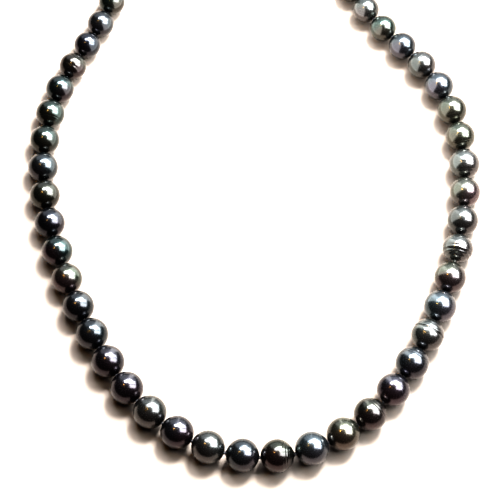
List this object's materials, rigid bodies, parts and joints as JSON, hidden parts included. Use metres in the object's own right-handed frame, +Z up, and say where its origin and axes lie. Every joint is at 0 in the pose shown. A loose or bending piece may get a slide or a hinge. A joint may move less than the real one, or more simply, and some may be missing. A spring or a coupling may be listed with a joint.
{
  "type": "pearl necklace",
  "caption": "Single graduated strand of round dark pearls, hand knotted on silk, with a sprung ring clasp and an end ring.",
  "frame": {"origin": "middle of the necklace's footprint, on the surface that it lies on", "axes": "+Z up off the surface; the largest pearl is at -Y and the two ends are at +Y; +X runs from the end ring side to the clasp side"},
  "size_m": [0.137, 0.203, 0.01],
  "materials": {
    "nacre": "dark pearl lustre, iridescent",
    "silk": "dark twisted silk",
    "silver_wire": "fine coiled silver wire",
    "silver": "polished silver",
    "steel": "spring steel"
  },
  "bodies": {
    "link_01": {"pearl_01": "nacre", "end_loop_left": "silver_wire", "loop_silk_left": "silk"},
    "link_02": {"pearl_02": "nacre"},
    "link_03": {"pearl_03": "nacre"},
    "link_04": {"pearl_04": "nacre"},
    "link_05": {"pearl_05": "nacre"},
    "link_06": {"pearl_06": "nacre"},
    "link_07": {"pearl_07": "nacre"},
    "link_08": {"pearl_08": "nacre"},
    "link_09": {"pearl_09": "nacre"},
    "link_10": {"pearl_10": "nacre"},
    "link_11": {"pearl_11": "nacre"},
    "link_12": {"pearl_12": "nacre"},
    "link_13": {"pearl_13": "nacre"},
    "link_14": {"pearl_14": "nacre"},
    "link_15": {"pearl_15": "nacre"},
    "link_16": {"pearl_16": "nacre"},
    "link_17": {"pearl_17": "nacre"},
    "link_18": {"pearl_18": "nacre"},
    "link_19": {"pearl_19": "nacre"},
    "link_20": {"pearl_20": "nacre"},
    "link_21": {"pearl_21": "nacre"},
    "link_22": {"pearl_22": "nacre"},
    "link_23": {"pearl_23": "nacre"},
    "link_24": {"pearl_24": "nacre"},
    "link_25": {"pearl_25": "nacre"},
    "link_26": {"pearl_26": "nacre"},
    "link_27": {"pearl_27": "nacre"},
    "link_28": {"pearl_28": "nacre"},
    "link_29": {"pearl_29": "nacre"},
    "link_30": {"pearl_30": "nacre"},
    "link_31": {"pearl_31": "nacre"},
    "link_32": {"pearl_32": "nacre"},
    "link_33": {"pearl_33": "nacre"},
    "link_34": {"pearl_34": "nacre"},
    "link_35": {"pearl_35": "nacre"},
    "link_36": {"pearl_36": "nacre"},
    "link_37": {"pearl_37": "nacre"},
    "link_38": {"pearl_38": "nacre"},
    "link_39": {"pearl_39": "nacre"},
    "link_40": {"pearl_40": "nacre"},
    "link_41": {"pearl_41": "nacre"},
    "link_42": {"pearl_42": "nacre"},
    "link_43": {"pearl_43": "nacre"},
    "link_44": {"pearl_44": "nacre"},
    "link_45": {"pearl_45": "nacre"},
    "link_46": {"pearl_46": "nacre"},
    "link_47": {"pearl_47": "nacre"},
    "link_48": {"pearl_48": "nacre"},
    "link_49": {"pearl_49": "nacre", "end_loop_right": "silver_wire", "loop_silk_right": "silk"},
    "end_ring_link": {"end_ring": "silver"},
    "clasp_link": {"clasp_ring": "silver", "clasp_eye": "silver", "clasp_spring": "steel"},
    "gate_link": {"clasp_gate": "silver"}
  },
  "joints": [
    {"name": "end_ring_tip", "type": "hinge", "parent": "link_01", "child": "end_ring_link", "pos_m": [-0.02161, 0.08855, 0.0014], "axis": [0.5446, -0.8387, 0], "range_deg": [0, 60]},
    {"name": "clasp_turn", "type": "hinge", "parent": "link_49", "child": "clasp_link", "pos_m": [0.00385, 0.09179, 0.00138], "axis": [-0.0094, 0.0051, 0.9999], "range_deg": [-45, 45]},
    {"name": "gate_slide", "type": "hinge", "parent": "clasp_link", "child": "gate_link", "pos_m": [-0.00292, 0.09546, 0.0013], "axis": [-0.0094, 0.0051, 0.9999], "range_deg": [0, 50], "stiffness_Nm_per_rad": 0.002, "springref_deg": -17.19, "deforming": ["clasp_spring"]},
    {"name": "knot_01_lift", "type": "hinge", "parent": "link_02", "child": "link_01", "pos_m": [-0.03228, 0.08162, 0.004], "axis": [0.6884, -0.7254, 0], "range_deg": [0, 15]},
    {"name": "knot_02_swing", "type": "hinge", "parent": "link_03", "child": "link_02", "pos_m": [-0.03718, 0.07487, 0.00404], "axis": [0, 0, 1], "range_deg": [0, 39]},
    {"name": "knot_03_lift", "type": "hinge", "parent": "link_04", "child": "link_03", "pos_m": [-0.04033, 0.06708, 0.00404], "axis": [0.9426, -0.3338, 0], "range_deg": [0, 15]},
    {"name": "knot_04_swing", "type": "hinge", "parent": "link_05", "child": "link_04", "pos_m": [-0.04277, 0.05909, 0.00405], "axis": [0, 0, 1], "range_deg": [0, 22]},
    {"name": "knot_05_lift", "type": "hinge", "parent": "link_06", "child": "link_05", "pos_m": [-0.04566, 0.05116, 0.00409], "axis": [0.9205, -0.3907, 0], "range_deg": [0, 15]},
    {"name": "knot_06_swing", "type": "hinge", "parent": "link_07", "child": "link_06", "pos_m": [-0.04939, 0.04351, 0.00409], "axis": [0, 0, 1], "range_deg": [0, 21]},
    {"name": "knot_07_lift", "type": "hinge", "parent": "link_08", "child": "link_07", "pos_m": [-0.05362, 0.03619, 0.00415], "axis": [0.8704, -0.4924, 0], "range_deg": [0, 15]},
    {"name": "knot_08_swing", "type": "hinge", "parent": "link_09", "child": "link_08", "pos_m": [-0.05785, 0.02856, 0.00428], "axis": [0, 0, 1], "range_deg": [0, 32]},
    {"name": "knot_09_lift", "type": "hinge", "parent": "link_10", "child": "link_09", "pos_m": [-0.06122, 0.0202, 0.00439], "axis": [0.9537, -0.3007, 0], "range_deg": [0, 15]},
    {"name": "knot_10_swing", "type": "hinge", "parent": "link_11", "child": "link_10", "pos_m": [-0.06328, 0.01127, 0.00446], "axis": [0, 0, 1], "range_deg": [0, 33]},
    {"name": "knot_11_lift", "type": "hinge", "parent": "link_12", "child": "link_11", "pos_m": [-0.06409, 0.00202, 0.00453], "axis": [0.9997, -0.0262, 0], "range_deg": [0, 15]},
    {"name": "knot_12_swing", "type": "hinge", "parent": "link_13", "child": "link_12", "pos_m": [-0.06376, -0.00743, 0.00458], "axis": [0, 0, 1], "range_deg": [0, 31]},
    {"name": "knot_13_lift", "type": "hinge", "parent": "link_14", "child": "link_13", "pos_m": [-0.06245, -0.0168, 0.0046], "axis": [0.9833, 0.1822, 0], "range_deg": [0, 15]},
    {"name": "knot_14_swing", "type": "hinge", "parent": "link_15", "child": "link_14", "pos_m": [-0.0603, -0.0261, 0.00466], "axis": [0, 0, 1], "range_deg": [0, 29]},
    {"name": "knot_15_lift", "type": "hinge", "parent": "link_16", "child": "link_15", "pos_m": [-0.05747, -0.03536, 0.00469], "axis": [0.9469, 0.3214, 0], "range_deg": [0, 15]},
    {"name": "knot_16_swing", "type": "hinge", "parent": "link_17", "child": "link_16", "pos_m": [-0.05408, -0.04443, 0.00473], "axis": [0, 0, 1], "range_deg": [0, 28]},
    {"name": "knot_17_lift", "type": "hinge", "parent": "link_18", "child": "link_17", "pos_m": [-0.05016, -0.05345, 0.00483], "axis": [0.9045, 0.4266, 0], "range_deg": [0, 15]},
    {"name": "knot_18_swing", "type": "hinge", "parent": "link_19", "child": "link_18", "pos_m": [-0.04558, -0.06243, 0.00492], "axis": [0, 0, 1], "range_deg": [0, 29]},
    {"name": "knot_19_lift", "type": "hinge", "parent": "link_20", "child": "link_19", "pos_m": [-0.04033, -0.07116, 0.00494], "axis": [0.8266, 0.5628, 0], "range_deg": [0, 15]},
    {"name": "knot_20_swing", "type": "hinge", "parent": "link_21", "child": "link_20", "pos_m": [-0.03414, -0.07924, 0.00497], "axis": [0, 0, 1], "range_deg": [0, 34]},
    {"name": "knot_21_lift", "type": "hinge", "parent": "link_22", "child": "link_21", "pos_m": [-0.02668, -0.08632, 0.00498], "axis": [0.6191, 0.7853, 0], "range_deg": [0, 15]},
    {"name": "knot_22_swing", "type": "hinge", "parent": "link_23", "child": "link_22", "pos_m": [-0.01809, -0.0919, 0.00497], "axis": [0, 0, 1], "range_deg": [0, 37]},
    {"name": "knot_23_lift", "type": "hinge", "parent": "link_24", "child": "link_23", "pos_m": [-0.00854, -0.09556, 0.00499], "axis": [0.2504, 0.9681, 0], "range_deg": [0, 15]},
    {"name": "knot_24_swing", "type": "hinge", "parent": "link_25", "child": "link_24", "pos_m": [0.00169, -0.097, 0.00501], "axis": [0, 0, 1], "range_deg": [0, 39]},
    {"name": "knot_25_swing", "type": "hinge", "parent": "link_25", "child": "link_26", "pos_m": [0.01193, -0.09592, 0.005], "axis": [0, 0, 1], "range_deg": [-39, 0]},
    {"name": "knot_26_lift", "type": "hinge", "parent": "link_26", "child": "link_27", "pos_m": [0.02161, -0.0924, 0.00498], "axis": [-0.4423, 0.8969, 0], "range_deg": [-15, 0]},
    {"name": "knot_27_swing", "type": "hinge", "parent": "link_27", "child": "link_28", "pos_m": [0.03024, -0.0869, 0.00498], "axis": [0, 0, 1], "range_deg": [-36, 0]},
    {"name": "knot_28_lift", "type": "hinge", "parent": "link_28", "child": "link_29", "pos_m": [0.03771, -0.07981, 0.00497], "axis": [-0.7431, 0.6691, 0], "range_deg": [-15, 0]},
    {"name": "knot_29_swing", "type": "hinge", "parent": "link_29", "child": "link_30", "pos_m": [0.04391, -0.07173, 0.00496], "axis": [0, 0, 1], "range_deg": [-32, 0]},
    {"name": "knot_30_lift", "type": "hinge", "parent": "link_30", "child": "link_31", "pos_m": [0.04912, -0.06289, 0.00496], "axis": [-0.885, 0.4656, 0], "range_deg": [-15, 0]},
    {"name": "knot_31_swing", "type": "hinge", "parent": "link_31", "child": "link_32", "pos_m": [0.05341, -0.05368, 0.0049], "axis": [0, 0, 1], "range_deg": [-29, 0]},
    {"name": "knot_32_lift", "type": "hinge", "parent": "link_32", "child": "link_33", "pos_m": [0.05701, -0.0443, 0.00483], "axis": [-0.9455, 0.3256, 0], "range_deg": [-15, 0]},
    {"name": "knot_33_swing", "type": "hinge", "parent": "link_33", "child": "link_34", "pos_m": [0.0599, -0.03486, 0.00474], "axis": [0, 0, 1], "range_deg": [-29, 0]},
    {"name": "knot_34_lift", "type": "hinge", "parent": "link_34", "child": "link_35", "pos_m": [0.06208, -0.02543, 0.00469], "axis": [-0.9825, 0.1865, 0], "range_deg": [-15, 0]},
    {"name": "knot_35_swing", "type": "hinge", "parent": "link_35", "child": "link_36", "pos_m": [0.06351, -0.01586, 0.00465], "axis": [0, 0, 1], "range_deg": [-30, 0]},
    {"name": "knot_36_lift", "type": "hinge", "parent": "link_36", "child": "link_37", "pos_m": [0.06409, -0.00636, 0.00462], "axis": [-1, 0.0087, 0], "range_deg": [-15, 0]},
    {"name": "knot_37_swing", "type": "hinge", "parent": "link_37", "child": "link_38", "pos_m": [0.06367, 0.00318, 0.00458], "axis": [0, 0, 1], "range_deg": [-32, 0]},
    {"name": "knot_38_lift", "type": "hinge", "parent": "link_38", "child": "link_39", "pos_m": [0.06213, 0.01241, 0.00452], "axis": [-0.9703, -0.2419, 0], "range_deg": [-15, 0]},
    {"name": "knot_39_swing", "type": "hinge", "parent": "link_39", "child": "link_40", "pos_m": [0.05917, 0.02126, 0.00448], "axis": [0, 0, 1], "range_deg": [-36, 0]},
    {"name": "knot_40_lift", "type": "hinge", "parent": "link_40", "child": "link_41", "pos_m": [0.05464, 0.02925, 0.00439], "axis": [-0.8241, -0.5664, 0], "range_deg": [-15, 0]},
    {"name": "knot_41_swing", "type": "hinge", "parent": "link_41", "child": "link_42", "pos_m": [0.04894, 0.03617, 0.00428], "axis": [0, 0, 1], "range_deg": [-29, 0]},
    {"name": "knot_42_lift", "type": "hinge", "parent": "link_42", "child": "link_43", "pos_m": [0.04291, 0.04252, 0.00415], "axis": [-0.7373, -0.6756, 0], "range_deg": [-15, 0]},
    {"name": "knot_43_swing", "type": "hinge", "parent": "link_43", "child": "link_44", "pos_m": [0.03731, 0.04886, 0.00409], "axis": [0, 0, 1], "range_deg": [-18, 0]},
    {"name": "knot_44_lift", "type": "hinge", "parent": "link_44", "child": "link_45", "pos_m": [0.03248, 0.05587, 0.00407], "axis": [-0.8616, -0.5075, 0], "range_deg": [-15, 0]},
    {"name": "knot_45_swing", "type": "hinge", "parent": "link_45", "child": "link_46", "pos_m": [0.02874, 0.06338, 0.00406], "axis": [0, 0, 1], "range_deg": [-21, 0]},
    {"name": "knot_46_lift", "type": "hinge", "parent": "link_46", "child": "link_47", "pos_m": [0.02551, 0.07118, 0.00404], "axis": [-0.91, -0.4147, 0], "range_deg": [-15, 0]},
    {"name": "knot_47_swing", "type": "hinge", "parent": "link_47", "child": "link_48", "pos_m": [0.02179, 0.07864, 0.00402], "axis": [0, 0, 1], "range_deg": [-39, 0]},
    {"name": "knot_48_lift", "type": "hinge", "parent": "link_48", "child": "link_49", "pos_m": [0.01637, 0.08498, 0.00401], "axis": [-0.6293, -0.7771, 0], "range_deg": [-15, 0]}
  ]
}
